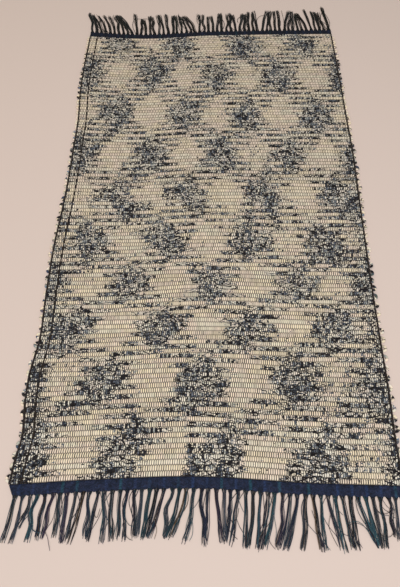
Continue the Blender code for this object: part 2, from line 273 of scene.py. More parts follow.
def field_mesh():
    """The woven cloth as one closed sheet: rings round it, three for each row.

    A ring runs left to right over the top and back underneath. On top the height is the
    valley's or the crown's, with a little play for each rag tick, and the crown's points lie
    over the ticks, which step over by one warp end from row to row. Underneath the ribs are
    flatter and rest on the floor.
    """
    rng = np.random.default_rng(SEED + 1)
    rows = np.repeat(np.arange(ROWS), 3)
    line_row = np.append(rows + np.tile(ROW_SHARES, ROWS), ROWS)
    crown = np.append(np.tile([0.0, 1.0, 1.0], ROWS), 0.0)
    owner = np.append(rows, ROWS - 1)
    ticks = np.arange(0, ENDS + 1, 2, dtype=float)
    step = np.where(owner % 2 == 0, 0.5, -0.5)[:, None] * crown[:, None]
    ends = ticks + step
    ends[:, 0], ends[:, -1] = 0, ENDS
    x, y = cloth_place(ends, line_row[:, None])
    tick_play = rng.uniform(-TICK_PLAY, TICK_PLAY, (ROWS, len(ticks)))[owner] * MM
    row_play = rng.uniform(-ROW_PLAY, ROW_PLAY, ROWS)[owner][:, None] * MM
    z = VALLEY_HEIGHT + crown[:, None] * (CROWN_HEIGHT - VALLEY_HEIGHT + tick_play + row_play)
    share = print_level(ends, owner[:, None].astype(float))
    under = np.linspace(ENDS, 0, UNDER_COLUMNS)
    under_ends = np.broadcast_to(under, (len(line_row), UNDER_COLUMNS))
    under_x, under_y = cloth_place(under_ends, line_row[:, None])
    under_z = np.broadcast_to(UNDER_RELIEF * (1 - crown[:, None]), under_x.shape)
    under_share = print_level(under_ends, owner[:, None].astype(float))
    pairs = ((x, under_x), (y, under_y), (z, under_z))
    points = np.stack([np.hstack(pair) for pair in pairs], axis=-1)
    index = np.arange(points[..., 0].size).reshape(points.shape[:2])
    after = np.roll(index, -1, axis=1)
    quads = np.stack([index[:-1], after[:-1], after[1:], index[1:]], axis=-1).reshape(-1, 4)
    faces = quads.tolist() + woven_end(index[0]) + [face[::-1] for face in woven_end(index[-1])]
    own_end = np.hstack([ends, under_ends]) / ENDS
    own_row = np.broadcast_to(line_row[:, None] / ROWS, own_end.shape)
    weave = np.stack([own_end, own_row], axis=-1).reshape(-1, 2)
    return points.reshape(-1, 3), faces, weave, np.hstack([share, under_share]).ravel()


def make_piece(name, points, faces, material, weave=None, **attributes):
    """A mesh object from arrays, riding the rug, with a UV map of its place in the weave.

    Each attribute has a number or a colour for every point.
    """
    mesh = bpy.data.meshes.new(name)
    mesh.from_pydata(np.asarray(points, float), [], faces)
    if weave is not None:
        corner = np.empty(len(mesh.loops), np.int32)
        mesh.loops.foreach_get("vertex_index", corner)
        layer = mesh.uv_layers.new(name="weave")
        layer.data.foreach_set("uv", np.asarray(weave, np.float32)[corner].ravel())
    for title, values in attributes.items():
        kind, part = ("FLOAT", "value") if values.ndim == 1 else ("FLOAT_COLOR", "color")
        made = mesh.attributes.new(title, kind, "POINT")
        made.data.foreach_set(part, values.astype(np.float32).ravel())
    mesh.polygons.foreach_set("use_smooth", np.ones(len(mesh.polygons), bool))
    mesh.materials.append(material)
    mesh.update()
    piece = bpy.data.objects.new(name, mesh)
    bpy.context.scene.collection.objects.link(piece)
    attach(piece, "root")
    return piece


def linear(colour):
    """An sRGB hex colour as linear red, green, blue and 1."""
    parts = np.array([int(colour[i : i + 2], 16) for i in (1, 3, 5)]) / 255
    parts = np.where(parts <= 0.04045, parts / 12.92, ((parts + 0.055) / 1.055) ** 2.4)
    return (*parts.tolist(), 1.0)


def feed(tree, node, inputs):
    """Sets inputs of a node, each to a value or to an output that is linked to it.

    They are a list, for the first inputs in order, or a dictionary by name or number.
    """
    for key, value in enumerate(inputs) if isinstance(inputs, list) else inputs.items():
        if isinstance(value, bpy.types.NodeSocket):
            tree.links.new(value, node.inputs[key])
        else:
            node.inputs[key].default_value = value


def add(tree, kind, inputs, out=0, stops=(), **settings):
    """Adds a node with its settings and links, and gives one of its outputs.

    `stops` are a colour ramp's, each a place and a hex colour: its two ends, then the rest.
    """
    made = tree.nodes.new("ShaderNode" + kind)
    for name, value in settings.items():
        setattr(made, name, value)
    feed(tree, made, inputs)
    for number, (place, colour) in enumerate(stops):
        elements = made.color_ramp.elements
        element = elements[number] if number < 2 else elements.new(place)
        element.position, element.color = place, linear(colour)
    return made.outputs[out]


def new_material(name):
    """A material, its node tree and its surface node."""
    material = bpy.data.materials.new(name)
    material.use_nodes = True
    return material, material.node_tree, material.node_tree.nodes["Principled BSDF"]


def from_middle(tree, share):
    """How far a share from 0 to 1 is from a half."""
    off = add(tree, "Math", [share, 0.5], operation="SUBTRACT")
    return add(tree, "Math", [off], operation="ABSOLUTE")


FLECK = 2.9  # mm, the print's marks as they show in the folded strip
RUN = 28.0  # mm, how far a dark or a pale run of the print goes along a row
STROKE = 8.5  # mm, the size of the curls drawn in thin lines
FOLD = 2.6  # mm, the creases of the folded cotton
FIBRE = 0.5  # mm
AGEING = 75.0  # mm, how far one tone of the cream goes
SLANT = 0.9  # at most, of the print on a strip: mm along the row for each mm across it
SQUEEZE = (0.52, 1.0, 1.0)  # marks are longer along the row than across it
STRIP_APART = 61.3  # mm, from one row's strip to the next one's in the noise
NOISE_REACH = (0.28, 0.72)  # nearly all of a noise lies between these
RUN_WEIGHT, TICK_WEIGHT = 0.42, 0.22  # of the runs and of each tick's chance in the marks
TICK_HUE_WEIGHT = 0.62  # of each tick's chance in the print's hue
ROW_TONE_WEIGHT = 0.22  # of each row's chance in the cream
MARK_EDGE = (-0.02, 0.03)  # over which levels a mark comes in
CURL_LINE = (0.04, 0.062, 1.0, 0.0)  # a curl's half width and soft edge, in the noise's values
CURL_LEVELS = (0.33, 0.42)  # the print levels over which curls come in
WHITER = (0.36, 0.52, 0.0, 0.55)  # print levels, and how far the strip is whiter there
TICK_TONES = (0.88, 1.08)  # the darkest and the lightest tick

# Painted shade in the dips, by the distance from the middle, of a tick across it and of a row
# along it: where it sets in, where it is full, and the light that is left at each
TICK_EDGE_SHADE = (0.22, 0.43, 1.0, 0.36)
ROW_VALLEY_SHADE = (0.34, 0.49, 1.0, 0.34)


def torn_cotton_rag():
    """Torn cotton rag, woven: soft, matt and creased, cream with a dark print.

    Each tick between two warp ends is a little cushion of folded cotton. The eye reads the
    painted shade in the dips between ticks and rows first, then the broken print.
    """
    material, tree, surface = new_material("torn_cotton_rag")
    weave = add(tree, "UVMap", {}, uv_map="weave")
    u = add(tree, "SeparateXYZ", [weave])
    v = add(tree, "SeparateXYZ", [weave], out=1)
    end = add(tree, "Math", [u, ENDS], operation="MULTIPLY")
    rows = add(tree, "Math", [v, ROWS], operation="MULTIPLY")
    row = add(tree, "Math", [rows], operation="FLOOR")
    in_row = add(tree, "Math", [rows], operation="FRACT")
    odd = add(tree, "Math", [row, 2.0], operation="MODULO")
    shifted = add(tree, "Math", [end, odd])
    ticks = add(tree, "Math", [shifted, 0.5], operation="MULTIPLY")
    tick = add(tree, "Math", [ticks], operation="FLOOR")
    in_tick = add(tree, "Math", [ticks], operation="FRACT")
    cell = add(tree, "CombineXYZ", [tick, row])
    chance = add(tree, "TexWhiteNoise", {"Vector": cell}, noise_dimensions="2D")
    chances = add(tree, "TexWhiteNoise", {"Vector": cell}, out="Color", noise_dimensions="2D")
    hue_chance = add(tree, "SeparateXYZ", [chances], out=1)
    tone_chance = add(tree, "SeparateXYZ", [chances], out=2)
    row_chance = add(tree, "TexWhiteNoise", {"W": row}, noise_dimensions="1D")
    # Places on the row's own strip of rag, in mm. It is folded and turned as it is laid, so
    # its print slants one way or the other
    across = add(tree, "Math", [u, FIELD_SIZE[0]], operation="MULTIPLY")
    up = add(tree, "Math", [in_row, FIELD_SIZE[1] / ROWS], operation="MULTIPLY")
    slant = add(tree, "MapRange", {0: row_chance, 3: -SLANT, 4: SLANT})
    slanted = add(tree, "Math", [up, slant, across], operation="MULTIPLY_ADD")
    own = add(tree, "Math", [row, STRIP_APART, up], operation="MULTIPLY_ADD")
    strip = add(tree, "CombineXYZ", [slanted, own])
    stretched = add(tree, "VectorMath", [strip, SQUEEZE], operation="MULTIPLY")
    # The print: small flecks, in runs along a row, whole ticks darker or paler by chance
    marks = add(tree, "TexNoise",
        {"Vector": stretched, "Scale": 1 / FLECK, "Detail": 1.0, "Roughness": 0.5},
        noise_dimensions="2D")
    marks = add(tree, "MapRange", [marks, *NOISE_REACH])
    along_row = add(tree, "CombineXYZ", [across, own])
    runs = add(tree, "TexNoise", {"Vector": along_row, "Scale": 1 / RUN, "Detail": 1.0},
        noise_dimensions="2D")
    runs = add(tree, "MapRange", [runs, *NOISE_REACH])
    level = add(tree, "Mix", {0: RUN_WEIGHT, 2: marks, 3: runs})
    level = add(tree, "Mix", {0: TICK_WEIGHT, 2: level, 3: chance})
    share = add(tree, "Attribute", {}, out="Fac", attribute_name="print_level")
    printed = add(tree, "Math", [share, level], operation="SUBTRACT")
    printed = add(tree, "MapRange", [printed, *MARK_EDGE])
    # Curls in thin lines, where one slow noise passes through its middle value
    curls = add(tree, "TexNoise", {"Vector": stretched, "Scale": 1 / STROKE, "Detail": 0.5},
        noise_dimensions="2D")
    curls = from_middle(tree, curls)
    curls = add(tree, "MapRange", [curls, *CURL_LINE])
    drawn = add(tree, "MapRange", [share, *CURL_LEVELS])
    curls = add(tree, "Math", [curls, drawn], operation="MULTIPLY")
    printed = add(tree, "Math", [printed, curls], operation="MAXIMUM")
    hues = add(tree, "TexNoise", {"Vector": strip, "Scale": 2 / FLECK, "Detail": 1.0},
        noise_dimensions="2D")
    hues = add(tree, "MapRange", [hues, 0.25, 0.75])
    hue = add(tree, "Mix", {0: TICK_HUE_WEIGHT, 2: hues, 3: hue_chance})
    dark = add(tree, "ValToRGB", [hue], stops=((0.0, "#17171b"), (0.94, "#dfe4d8"), (0.22, "#1d1d22"),
        (0.33, "#2f2a28"), (0.41, "#3a4767"), (0.5, "#55675f"), (0.58, "#665a70"), (0.66, "#71879b"),
        (0.74, "#92979a"), (0.83, "#bdbfb2")))
    dark = add(tree, "Mix", {0: curls, 6: dark, 7: linear("#1a1a20")}, out=2, data_type="RGBA")
    drift = add(tree, "TexNoise", {"Vector": strip, "Scale": 1 / AGEING, "Detail": 1.0},
        noise_dimensions="2D")
    tone = add(tree, "Mix", {0: ROW_TONE_WEIGHT, 2: drift, 3: row_chance})
    cream = add(tree, "ValToRGB", [tone], stops=((0.2, "#f4e8d4"), (0.8, "#f8eedc"), (0.4, "#f4e7cb"),
        (0.52, "#f5e4d3"), (0.64, "#efe8d2")))
    # The strip is whiter between the marks of its print
    whiter = add(tree, "MapRange", [share, *WHITER])
    cream = add(tree, "Mix", {0: whiter, 6: cream, 7: linear("#eaebe4")}, out=2, data_type="RGBA")
    rag = add(tree, "Mix", {0: printed, 6: cream, 7: dark}, out=2, data_type="RGBA")
    # Painted shade in the dips where the warp bites at both sides of a tick and between rows,
    # and each tick a little lighter or darker than the next
    side = from_middle(tree, in_tick)
    tick_edge_shade = add(tree, "MapRange", [side, *TICK_EDGE_SHADE], interpolation_type="SMOOTHSTEP")
    brow = from_middle(tree, in_row)
    row_valley_shade = add(tree, "MapRange", [brow, *ROW_VALLEY_SHADE], interpolation_type="SMOOTHSTEP")
    tick_tone = add(tree, "MapRange", {0: tone_chance, 3: TICK_TONES[0], 4: TICK_TONES[1]})
    shade = add(tree, "Math", [tick_edge_shade, row_valley_shade], operation="MULTIPLY")
    shade = add(tree, "Math", [shade, tick_tone], operation="MULTIPLY")
    rag = add(tree, "VectorMath", {0: rag, "Scale": shade}, operation="SCALE")
    feed(tree, surface, {"Base Color": rag, "Roughness": 0.92, "Specular IOR Level": 0.25})
    # Cushioned ticks with the creases and the nap of folded cotton
    cushion = add(tree, "MapRange", [side, 0.1, 0.5, 1.0, 0.0], interpolation_type="SMOOTHSTEP")
    folds = add(tree, "TexNoise", {"Vector": strip, "Scale": 1 / FOLD, "Detail": 2.0, "Roughness": 0.6},
        noise_dimensions="2D")
    nap = add(tree, "TexNoise", {"Vector": strip, "Scale": 1 / FIBRE, "Detail": 1.0},
        noise_dimensions="2D")
    height = add(tree, "Math", [folds, 0.8, cushion], operation="MULTIPLY_ADD")
    height = add(tree, "Math", [nap, 0.2, height], operation="MULTIPLY_ADD")
    relief = add(tree, "Bump", {"Height": height, "Strength": 0.7, "Distance": 0.6 * MM})
    feed(tree, surface, {"Normal": relief})
    return material


rag = torn_cotton_rag()
points, faces, weave, share = field_mesh()
field = make_piece("woven_rag_field", points, faces, rag, weave, print_level=share)
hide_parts("rug_field")

# The warp: dark carpet yarn that shows where it passes over a rag row
# In plain weave every other end passes over a row and the rest over the next one, so the
# visible lengths of yarn sit like bricks. Those over even and over odd rows are two pieces.
WARP_WIDTH = 1.6 * MM
WARP_WIDTH_PLAY = (0.8, 1.15)  # the least and the most of it
WARP_PLAY = 0.12  # of the distance to the next end
WARP_PROUD = 0.35 * MM
WARP_SUNK = 0.12 * MM
WARP_SHARES = (0.02, 0.25, 0.75, 0.98)  # of the row's width, where its four sections are
WARP_BESIDE = 2  # ends at both sides that lie in the selvedge bundles


def warp_floats(parity):
    """The lengths of warp over every other row, as small ridges that follow the rag's rib.

    Each has four sections along the row's width, from valley over the crown to valley, and
    three points across: the two edges, sunk into the rag, and the ridge between them.
    """
    rng = np.random.default_rng(SEED + 2 + parity)
    row = np.arange(parity, ROWS, 2)
    end = np.arange(parity, ENDS + 1, 2)
    rows, ends = [grid.ravel().astype(float) for grid in np.meshgrid(row, end, indexing="ij")]
    inside = (ends > WARP_BESIDE) & (ends < ENDS - WARP_BESIDE)
    rows, ends = rows[inside], ends[inside]
    play = rng.uniform(-WARP_PLAY, WARP_PLAY, len(rows))
    along = rows[:, None] + np.array(WARP_SHARES)
    x, y = cloth_place(ends[:, None] + play[:, None], along)
    height = np.array([VALLEY_HEIGHT, CROWN_HEIGHT, CROWN_HEIGHT, VALLEY_HEIGHT])
    half = WARP_WIDTH / 2 * rng.uniform(*WARP_WIDTH_PLAY, len(rows))
    offsets = half[:, None, None] * np.array([-1.0, 0.0, 1.0])
    proud = np.array([-WARP_SUNK, WARP_PROUD, -WARP_SUNK])
    grids = np.broadcast_arrays(x[..., None] + offsets, y[..., None], height[:, None] + proud)
    points = np.stack(grids, axis=-1)
    index = np.arange(points[..., 0].size).reshape(points.shape[:3])
    low, high = index[:, :-1], index[:, 1:]
    corners = [low[..., :-1], low[..., 1:], high[..., 1:], high[..., :-1]]
    return points.reshape(-1, 3), np.stack(corners, axis=-1).reshape(-1, 4).tolist()


def dark_carpet_warp():
    """Cotton carpet warp, hard twisted: a matt thread dyed nearly black, faded in places."""
    material, tree, surface = new_material("dark_carpet_warp")
    where = add(tree, "TexCoord", {}, out="Object")
    fading = add(tree, "TexNoise", {"Vector": where, "Scale": 1 / (4 * MM), "Detail": 2.0})
    colour = add(tree, "ValToRGB", [fading], stops=((0.3, "#171310"), (0.75, "#4a3c2c"),
        (0.5, "#2a221b"), (0.62, "#1c212c")))
    feed(tree, surface, {"Base Color": colour, "Roughness": 0.85, "Specular IOR Level": 0.3})
    return material


warp = dark_carpet_warp()
for parity, name in ((0, "warp_over_even_rows"), (1, "warp_over_odd_rows")):
    points, faces = warp_floats(parity)
    floats = make_piece(name, points, faces, warp)

# The selvedge bundles: several warp ends taken as one, so that the cloth's sides are firm
# They show as a strong dark cord along each side, and a second one runs inside the left side.
BUNDLE_SIDES = 6
BUNDLE_STEPS = 4  # sections a row
BUNDLE_SHORT = 0.05  # of a row, left out at each end
BUNDLE_LOW, BUNDLE_RISE = 0.35, 0.65  # of a rib's height, in a valley and from there to a crown

# Each bundle's name, warp end, half width and half height
BUNDLES = (
    ("left_selvedge_bundle", 1.2, 2.2 * MM, 1.5 * MM),
    ("left_inner_bundle", 11.0, 1.8 * MM, 1.5 * MM),
    ("right_selvedge_bundle", ENDS - 1.2, 2.2 * MM, 1.5 * MM),
)


def ring_quads(index):
    """The quads between each ring of point numbers and the next: rings are the last axis."""
    after = np.roll(index, -1, axis=-1)
    low, high = slice(None, -1), slice(1, None)
    corners = [index[..., low, :], index[..., high, :], after[..., high, :], after[..., low, :]]
    return np.stack(corners, axis=-1)


def tube(path, width, height, sides):
    """A closed tube along each path: an ellipse of `sides` points about each point.

    path is (tubes, sections, 3). width and height are the ellipse's half sizes, across the
    path in the floor's plane and upwards. The ends are closed by a face each.
    """
    ahead = np.gradient(path, axis=1)
    ahead[..., 2] = 0.0
    ahead /= np.maximum(np.linalg.norm(ahead, axis=-1, keepdims=True), 1e-9)
    side = np.stack([ahead[..., 1], -ahead[..., 0], np.zeros_like(ahead[..., 0])], axis=-1)
    up = np.array([0.0, 0.0, 1.0])
    turn = np.linspace(0, 2 * math.pi, sides, endpoint=False)
    width = np.broadcast_to(width, path.shape[:2])[..., None, None]
    height = np.broadcast_to(height, path.shape[:2])[..., None, None]
    ring = path[:, :, None, :] + width * np.cos(turn)[:, None] * side[:, :, None, :]
    ring = ring + height * np.sin(turn)[:, None] * up
    index = np.arange(ring[..., 0].size).reshape(ring.shape[:3])
    caps = index[:, 0, :].tolist() + index[:, -1, ::-1].tolist()
    return ring.reshape(-1, 3), ring_quads(index).reshape(-1, 4).tolist() + caps


for name, end, half_width, half_height in BUNDLES:
    row = np.linspace(BUNDLE_SHORT, ROWS - BUNDLE_SHORT, ROWS * BUNDLE_STEPS)
    x, y = cloth_place(end, row)
    bob = BUNDLE_LOW + BUNDLE_RISE * np.sin(math.pi * row) ** 2
    z = VALLEY_HEIGHT + (CROWN_HEIGHT - VALLEY_HEIGHT) * bob
    path = np.stack([x, y, z], axis=-1)[None]
    points, faces = tube(path, half_width, half_height, BUNDLE_SIDES)
    bundle = make_piece(name, points, faces, warp)

# The weft turns: where the rag comes out at a side, folds round the last bundle and goes back
# Each joins two rows, on the left the first two and on the right the second and third.
LOOP_REACH = {-1: 8.0 * MM, 1: 9.2 * MM}  # on the left and on the right side
LOOP_REACH_PLAY = (0.7, 1.2)  # the least and the most of it
LOOP_SQUARENESS = 0.6  # 1 is a plain half ellipse, and less is squarer
LOOP_INSET = 1.0 * MM  # how far a turn begins inside the cloth's edge
LOOP_LIFT = 0.2 * MM
LOOP_SLIP = 0.3  # of an end, how much further out on its tick the turn's outer part is
LOOP_LEVELS = (-0.35, 0.2)  # a turn's print level by places, over that of the cloth beside it
LOOP_HALF_THICK = 2.5 * MM
LOOP_HALF_HEIGHT = 2.1 * MM
LOOP_SECTIONS = 9
LOOP_SIDES = 8


def weft_turns(side):
    """The rag's turns outside one selvedge: half rings from a row's middle to the next one's.

    The middle line is a half ellipse, a little squarer: half the distance between the rows
    along the rug, and the loop's own reach outwards. Reaches differ from turn to turn.
    """
    rng = np.random.default_rng(SEED + (5 if side < 0 else 6))
    first = np.arange(0 if side < 0 else 1, ROWS - 1, 2).astype(float)
    end = 0.0 if side < 0 else float(ENDS)
    x0, y0 = cloth_place(end, first + 0.5)
    x1, y1 = cloth_place(end, first + 1.5)
    reach = LOOP_REACH[side] * rng.uniform(*LOOP_REACH_PLAY, len(first)) - LOOP_HALF_THICK
    turn = np.linspace(-math.pi / 2, math.pi / 2, LOOP_SECTIONS)
    outward = np.abs(np.cos(turn)) ** LOOP_SQUARENESS
    middle_x = (x0 + x1)[:, None] / 2 + side * reach[:, None] * outward
    middle_y = (y0 + y1)[:, None] / 2 + (y1 - y0)[:, None] / 2 * np.sin(turn)
    middle_x = middle_x - side * LOOP_INSET
    z = np.broadcast_to(LOOP_HALF_HEIGHT + LOOP_LIFT, middle_x.shape)
    path = np.stack([middle_x, middle_y, z], axis=-1)
    points, faces = tube(path, LOOP_HALF_THICK, LOOP_HALF_HEIGHT, LOOP_SIDES)
    row = np.repeat(np.where(turn < 0, first[:, None], first[:, None] + 1).ravel(), LOOP_SIDES)
    out = np.repeat(np.broadcast_to(outward, middle_x.shape).ravel(), LOOP_SIDES)
    # A turn takes its rag from the middle of the tick beyond its edge, away from the painted
    # shade at the tick's sides
    tick_middle = end + side * (1 + LOOP_SLIP * out) - row % 2
    weave = np.stack([tick_middle / ENDS, (row + 0.5) / ROWS], axis=-1)
    mottle = np.repeat(rng.uniform(*LOOP_LEVELS, middle_x.size), LOOP_SIDES)
    return points, faces, weave, print_level(np.full(len(row), end), row) + mottle


for side, name in ((-1, "left_weft_turns"), (1, "right_weft_turns")):
    points, faces, weave, share = weft_turns(side)
    turns = make_piece(name, points, faces, rag, weave, print_level=share)

# The headings: a few picks of thin navy yarn that lock the first and the last rag row
# They share the field's warp, whose blue and teal ends show about every 25 mm. Where a lock of
# the fringe leaves the heading, its outer edge is pulled out a little.
HEADING_WIDTHS = {"near": 17.5 * MM, "far": 20.0 * MM}
HEADING_HEIGHT = 3.0 * MM
EDGE_LOW, EDGE_RISE = 0.55, 0.45  # of the height, at a long edge and from there inwards
EDGE_WIDTH = 0.35  # the smaller it is, the nearer the edge is the full height
PICK_LOW, PICK_RISE = 0.93, 0.07  # between two picks, and from there to a pick's top
CLOTH_GAP = 0.3 * MM
NEAR_LEFT_DRAW_IN = 9.0 * MM  # the near heading's outer left corner is pulled in by its warp
HEADING_PICKS = 13
HEADING_STEPS = 430
PULL = 2.2 * MM  # how far a lock pulls the edge out, over PULL_WIDTH to each side
PULL_WIDTH = 3.4 * MM
PULL_STEEPNESS = 4  # the pull is in the outer quarter of the heading's width
STRIPE_PITCH = 24.7 * MM
STRIPE_START = -296 * MM  # X of one stripe, from the field's middle
LOCK_INSET = 5.0 * MM  # from the heading's end to its first lock
ROOT_SPREAD = 1.2 * MM
TIP_SPREAD = 3.0 * MM
TIP_CLEARANCE = 3.6 * MM

# Bunches that lie together, in mm from left to right: how many locks, how far their tips
# drift sideways, how long they are, and how far their tips stay apart
NEAR_BUNCHES = (
    ("locks", "drift", "length", "opening"),
    (2, -6, 72, 1.0), (1, -11, 50, 1.0), (1, -6, 74, 1.0), (2, -6, 69, 0.5), (1, 0, 72, 1.0),
    (3, -7, 76, 0.45), (2, -5, 74, 0.45), (4, 4.5, 77, 0.88), (3, -3, 76, 0.45),
    (2, -20.5, 76, 0.45), (3, -18, 79, 0.48), (1, -13, 82, 1.0), (2, 1, 85, 0.35), (2, 5, 82, 0.35),
    (2, -10, 82, 0.35), (2, -6.5, 85, 0.45), (3, -16, 86, 0.48), (3, -20.5, 83, 0.65),
    (1, -11, 86, 1.0), (2, 1.5, 83, 0.6), (2, 12.5, 82, 0.45), (2, 5, 81, 0.35), (4, 9.5, 77, 0.4),
    (3, -4.5, 64, 0.4),
)
FAR_BUNCHES = (
    ("locks", "drift", "length", "opening"),
    (1, -26, 97, 1.0), (2, -30, 86, 0.3), (2, -30.5, 87, 1.2), (1, -26, 87, 1.0), (4, -33, 90, 0.3),
    (1, -14, 106, 1.0), (2, -7.5, 76, 0.3), (2, -12, 88, 0.7), (2, -14.5, 97, 0.45),
    (1, -13, 95, 1.0), (2, -7.5, 90, 0.7), (1, -12, 85, 1.0), (3, -25, 80, 0.45),
    (2, -3.5, 85, 0.9), (2, -6, 80, 0.9), (2, 2, 90, 0.4), (2, -1, 87, 0.8), (1, -8, 80, 1.0),
    (2, 6.5, 84, 0.4), (2, 0, 95, 0.85), (1, -9, 98, 1.0), (3, 10, 98, 0.4), (2, -1.5, 98, 1.0),
    (3, 11, 97, 0.35), (3, -13, 85, 0.45), (1, -15, 104, 1.0), (3, -9, 90, 0.65),
    (1, -11, 112, 1.0),
)
RUG_ENDS = (
    ("near", -1, NEAR_BUNCHES, NEAR_LEFT_DRAW_IN, SEED + 1),
    ("far", 1, FAR_BUNCHES, 0.0, SEED + 2),
)


def heading_place(side, outwards, across, out):
    """Y of a point of a heading, at X = across and `out` metres outside the field's edge."""
    edge = smooth(FIELD_EDGES, side, (across + OUTLINE_MIDDLE[0]) / MM)
    return edge * MM - OUTLINE_MIDDLE[1] + outwards * out


def heading_ends(side):
    """X of the left and right end of a heading."""
    along = float(smooth(FIELD_EDGES, side, 0.0))
    places = [smooth(SELVEDGES, name, along) for name in ("left", "right")]
    return [float(place * MM - OUTLINE_MIDDLE[0]) for place in places]


def lock_plan(bunches, left_end, right_end, rng):
    """For each lock from left to right: its root X, tip X and length, in metres.

    Roots are evenly spaced but for a little seeded play. The tips of one bunch gather round
    the bunch's drifted middle, and no two tips come nearer than TIP_CLEARANCE.
    """
    count = int(column(bunches, "locks").sum())
    even = np.linspace(left_end + LOCK_INSET, right_end - LOCK_INSET, count)
    play = rng.uniform(-1, 1, count) * ROOT_SPREAD
    play[[0, -1]] = 0.0
    roots = even + play
    tips, lengths, first = [], [], 0
    for locks, drift, length, opening in bunches[1:]:
        own = roots[first : first + locks]
        middle = own.mean()
        tips += list(middle + drift * MM + opening * (own - middle))
        lengths += list(length * MM + rng.uniform(-1, 1, locks) * TIP_SPREAD)
        first += locks
    tips = np.array(tips)
    for _ in range(count):
        short = np.maximum(TIP_CLEARANCE - np.diff(tips), 0)
        tips[:-1] -= short / 2
        tips[1:] += short / 2
    return roots, tips, np.array(lengths)


def heading_mesh(side, outwards, draw_in, roots):
    """A heading as one closed strip: rings across its width, two points for each pick of yarn.

    On top the height rises and falls with each pick, and falls off rounded at both long
    edges. The outer edge is pulled out at each root by a bell of height PULL.
    """
    left, right = heading_ends(side)
    width = HEADING_WIDTHS[side]
    out = np.linspace(CLOTH_GAP, CLOTH_GAP + width, 2 * HEADING_PICKS + 1)
    pick = np.abs(np.sin(np.linspace(0, HEADING_PICKS * math.pi, len(out))))
    bow = np.sin(np.linspace(0, math.pi, len(out)))
    rounded = np.minimum(1.0, EDGE_LOW + EDGE_RISE * bow / EDGE_WIDTH)
    top = HEADING_HEIGHT * rounded * (PICK_LOW + PICK_RISE * pick)
    ring_out = np.concatenate([out, out[::-1]])[None, :]
    ring_z = np.concatenate([top, np.zeros(len(out))])[None, :]
    place = np.linspace(0, 1, HEADING_STEPS)[:, None]
    outer_share = (ring_out - CLOTH_GAP) / width
    own_left = left + draw_in * outer_share
    x = own_left + (right - own_left) * place
    apart = np.abs(x[:, :1, None] - roots).min(axis=-1)
    outermost = np.clip(outer_share * PULL_STEEPNESS - (PULL_STEEPNESS - 1), 0, 1)
    pull = PULL * np.exp(-((apart / PULL_WIDTH) ** 2)) * outermost
    y = heading_place(side, outwards, x, ring_out + pull)
    z = np.broadcast_to(ring_z, x.shape)
    points = np.stack([x, y, z], axis=-1)
    index = np.arange(x.size).reshape(x.shape)
    quads = ring_quads(index)
    caps = [index[0].tolist(), index[-1, ::-1].tolist()]
    if outwards < 0:
        quads = quads[..., ::-1]
        caps = [cap[::-1] for cap in caps]
    weave = np.stack(np.broadcast_arrays(place, outer_share), axis=-1)
    return points.reshape(-1, 3), quads.reshape(-1, 4).tolist() + caps, weave.reshape(-1, 2)


def navy_heading_cotton():
    """Fine navy cotton woven tight: matt, cross-ribbed, with stripes of blue and teal warp."""
    material, tree, surface = new_material("navy_heading_cotton")
    weave = add(tree, "UVMap", {}, uv_map="weave")
    u = add(tree, "SeparateXYZ", [weave])
    v = add(tree, "SeparateXYZ", [weave], out=1)
    ends = add(tree, "Math", [u, ENDS], operation="MULTIPLY")
    picks = add(tree, "Math", [v, HEADING_PICKS], operation="MULTIPLY")
    where = add(tree, "TexCoord", {}, out="Object")
    x = add(tree, "SeparateXYZ", [where])
    first = (STRIPE_START - OUTLINE_MIDDLE[0]) / STRIPE_PITCH
    turns = add(tree, "Math", [x, 1 / STRIPE_PITCH, 0.5 - first], operation="MULTIPLY_ADD")
    number = add(tree, "Math", [turns], operation="FLOOR")
    within = from_middle(tree, add(tree, "Math", [turns], operation="FRACT"))
    stripe = add(tree, "MapRange", [within, 0.05, 0.14, 0.38, 0.0])
    which = add(tree, "TexWhiteNoise", {"W": number}, noise_dimensions="1D")
    bright = add(tree, "ValToRGB", [which], stops=((0.0, "#232b48"), (1.0, "#246070"), (0.3, "#29426f"),
        (0.6, "#2c395f"), (0.8, "#245060")))
    cloudy = add(tree, "TexNoise", {"Vector": where, "Scale": 1 / (9 * MM), "Detail": 2.0})
    ground = add(tree, "ValToRGB", [cloudy], stops=((0.3, "#141b2c"), (0.7, "#212d4a"),
        (0.5, "#1a243c"), (0.6, "#21263b")))
    colour = add(tree, "Mix", {0: stripe, 6: ground, 7: bright}, out=2, data_type="RGBA")
    # Single picks and ends catch the light one by one
    end_number = add(tree, "Math", [ends], operation="FLOOR")
    pick_number = add(tree, "Math", [picks], operation="FLOOR")
    cell = add(tree, "CombineXYZ", [end_number, pick_number])
    chance = add(tree, "TexWhiteNoise", {"Vector": cell}, noise_dimensions="2D")
    speck = add(tree, "MapRange", {0: chance, 3: 0.6, 4: 1.6})
    turn = add(tree, "Math", [picks, math.pi], operation="MULTIPLY")
    wave = add(tree, "Math", [turn], operation="SINE")
    rib = add(tree, "Math", [wave], operation="ABSOLUTE")
    # Painted shade in the grooves between the picks
    shade = add(tree, "MapRange", [rib, 0.0, 0.6, 0.65, 1.0])
    shade = add(tree, "Math", [shade, speck], operation="MULTIPLY")
    # The heading darkens towards the far end, so the far heading is darker than the near one
    y = add(tree, "SeparateXYZ", [where], out=1)
    darker_far_off = add(tree, "MapRange", [y, -0.6, 0.6, 1.0, 0.42])
    shade = add(tree, "Math", [shade, darker_far_off], operation="MULTIPLY")
    colour = add(tree, "VectorMath", {0: colour, "Scale": shade}, operation="SCALE")
    feed(tree, surface, {"Base Color": colour, "Roughness": 0.85, "Specular IOR Level": 0.25})
    lines = add(tree, "Math", [ends, math.pi], operation="MULTIPLY")
    lines = add(tree, "Math", [lines], operation="SINE")
    height = add(tree, "Math", [lines, rib], operation="MULTIPLY")
    relief = add(tree, "Bump", {"Height": height, "Strength": 0.6, "Distance": 0.25 * MM})
    feed(tree, surface, {"Normal": relief})
    return material


